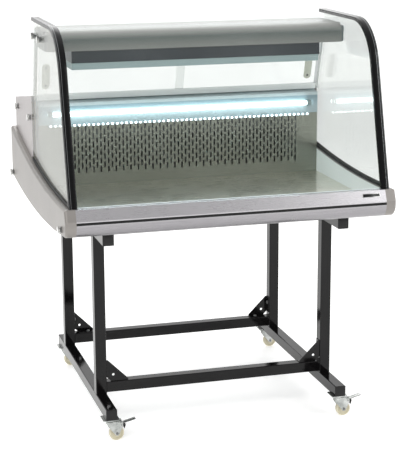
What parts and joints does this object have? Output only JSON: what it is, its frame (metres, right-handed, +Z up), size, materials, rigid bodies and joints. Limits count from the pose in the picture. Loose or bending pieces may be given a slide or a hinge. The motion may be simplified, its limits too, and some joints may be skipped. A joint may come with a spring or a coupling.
{
  "type": "refrigerated display counter on casters",
  "caption": "Refrigerated curved-glass counter display with rear sliding doors, on a wheeled stand of square tube with braked casters at the front.",
  "frame": {"origin": "on the floor, below the centre of the whole object's bounding box", "axes": "+X is the customer's right, +Y goes from the customer's side to the server's side, +Z is up"},
  "size_m": [1.215, 1.156, 1.4525],
  "materials": {
    "black_paint": "gloss",
    "black_plastic": "satin",
    "zinc": "zinc plated",
    "dark_steel": "satin",
    "cream_plastic": "satin",
    "aluminium": "satin anodised",
    "polished_aluminium": "bright",
    "end_panel_paint": "satin",
    "housing_paint": "satin",
    "white_paint": "satin",
    "slate_paint": "satin",
    "lamp_diffuser": "satin",
    "stainless": "satin",
    "galvanised": "matt",
    "foam": "matt",
    "led_white": "translucent",
    "seal_rubber": "matt",
    "clear_glass": "clear",
    "controller_black": "gloss",
    "switch_green": "gloss",
    "coil_metal": "finned",
    "compressor_paint": "satin"
  },
  "bodies": {
    "root": {"left_runner": "black_paint", "right_runner": "black_paint", "left_arm": "black_paint", "right_arm": "black_paint", "stand_posts": "black_paint", "cross_beams": "black_paint", "corner_gussets": "black_paint", "gusset_bolts": "dark_steel", "tube_end_caps": "black_plastic", "caster_plates": "zinc", "caster_screws": "zinc", "base_tub": "galvanised", "insulation": "foam", "deck_plate": "stainless", "front_beam": "aluminium", "beam_insert_strip": "seal_rubber", "badge_plate": "polished_aluminium", "end_panel_left": "end_panel_paint", "end_panel_right": "end_panel_paint", "chamber_liners": "stainless", "glass_seals": "seal_rubber", "curved_front_glass": "clear_glass", "side_glass": "clear_glass", "glass_edge_profiles": "black_plastic", "roof_panel": "white_paint", "roof_brackets": "galvanised", "lamp_box": "slate_paint", "lamp_cover": "lamp_diffuser", "air_grille": "stainless", "lamp_canopy": "stainless", "led_lamps": "led_white", "evaporator": "coil_metal", "evaporator_fan_plate": "galvanised", "rear_housing": "housing_paint", "control_panel": "black_plastic", "temperature_controller": "controller_black", "power_inlet": "black_plastic", "compressor": "compressor_paint", "condenser": "coil_metal", "condenser_shroud": "galvanised", "door_tracks": "aluminium", "door_posts": "aluminium", "hand_screws": "polished_aluminium"},
    "caster_front_left": {"caster_fork_front_left": "zinc"},
    "wheel_front_left": {"caster_wheel_front_left": "cream_plastic"},
    "caster_front_right": {"caster_fork_front_right": "zinc"},
    "wheel_front_right": {"caster_wheel_front_right": "cream_plastic"},
    "caster_rear_left": {"caster_fork_rear_left": "zinc"},
    "wheel_rear_left": {"caster_wheel_rear_left": "cream_plastic"},
    "caster_rear_right": {"caster_fork_rear_right": "zinc"},
    "wheel_rear_right": {"caster_wheel_rear_right": "cream_plastic"},
    "pedal_front_left": {"brake_pedal_front_left": "zinc"},
    "pedal_front_right": {"brake_pedal_front_right": "zinc"},
    "door_left": {"rear_door_left": "clear_glass", "door_pull_left": "polished_aluminium"},
    "door_right": {"rear_door_right": "clear_glass", "door_pull_right": "polished_aluminium"},
    "evaporator_fan": {"evaporator_fan": "black_plastic"},
    "condenser_fan": {"condenser_fan": "aluminium"},
    "power_switch": {"power_switch": "switch_green"}
  },
  "joints": [
    {"name": "swivel_front_left", "type": "hinge", "parent": "root", "child": "caster_front_left", "pos_m": [-0.43, -0.455, 0.0775], "axis": [0, 0, 1], "continuous": true},
    {"name": "roll_front_left", "type": "hinge", "parent": "caster_front_left", "child": "wheel_front_left", "pos_m": [-0.408, -0.455, 0.027], "axis": [0, 1, 0], "continuous": true},
    {"name": "swivel_front_right", "type": "hinge", "parent": "root", "child": "caster_front_right", "pos_m": [0.43, -0.455, 0.0775], "axis": [0, 0, 1], "continuous": true},
    {"name": "roll_front_right", "type": "hinge", "parent": "caster_front_right", "child": "wheel_front_right", "pos_m": [0.452, -0.455, 0.027], "axis": [0, 1, 0], "continuous": true},
    {"name": "swivel_rear_left", "type": "hinge", "parent": "root", "child": "caster_rear_left", "pos_m": [-0.43, 0.401, 0.0775], "axis": [0, 0, 1], "continuous": true},
    {"name": "roll_rear_left", "type": "hinge", "parent": "caster_rear_left", "child": "wheel_rear_left", "pos_m": [-0.408, 0.401, 0.027], "axis": [0, 1, 0], "continuous": true},
    {"name": "swivel_rear_right", "type": "hinge", "parent": "root", "child": "caster_rear_right", "pos_m": [0.43, 0.401, 0.0775], "axis": [0, 0, 1], "continuous": true},
    {"name": "roll_rear_right", "type": "hinge", "parent": "caster_rear_right", "child": "wheel_rear_right", "pos_m": [0.452, 0.401, 0.027], "axis": [0, 1, 0], "continuous": true},
    {"name": "brake_front_left", "type": "hinge", "parent": "caster_front_left", "child": "pedal_front_left", "pos_m": [-0.392, -0.455, 0.058], "axis": [0, 1, 0], "range_deg": [0, 9]},
    {"name": "brake_front_right", "type": "hinge", "parent": "caster_front_right", "child": "pedal_front_right", "pos_m": [0.468, -0.455, 0.058], "axis": [0, 1, 0], "range_deg": [0, 9]},
    {"name": "slide_door_left", "type": "slide", "parent": "root", "child": "door_left", "axis": [1, 0, 0], "range_m": [0, 0.5]},
    {"name": "slide_door_right", "type": "slide", "parent": "root", "child": "door_right", "axis": [1, 0, 0], "range_m": [-0.5, 0]},
    {"name": "evaporator_fan_spin", "type": "hinge", "parent": "root", "child": "evaporator_fan", "pos_m": [0, 0.215, 0.9], "axis": [0, 1, 0], "continuous": true},
    {"name": "condenser_fan_spin", "type": "hinge", "parent": "root", "child": "condenser_fan", "pos_m": [0.23, 0.446, 0.8875], "axis": [0, 1, 0], "continuous": true},
    {"name": "power_switch_rock", "type": "hinge", "parent": "root", "child": "power_switch", "pos_m": [-0.383, 0.5705, 1.022], "axis": [1, 0, 0], "range_deg": [-14, 0]}
  ]
}
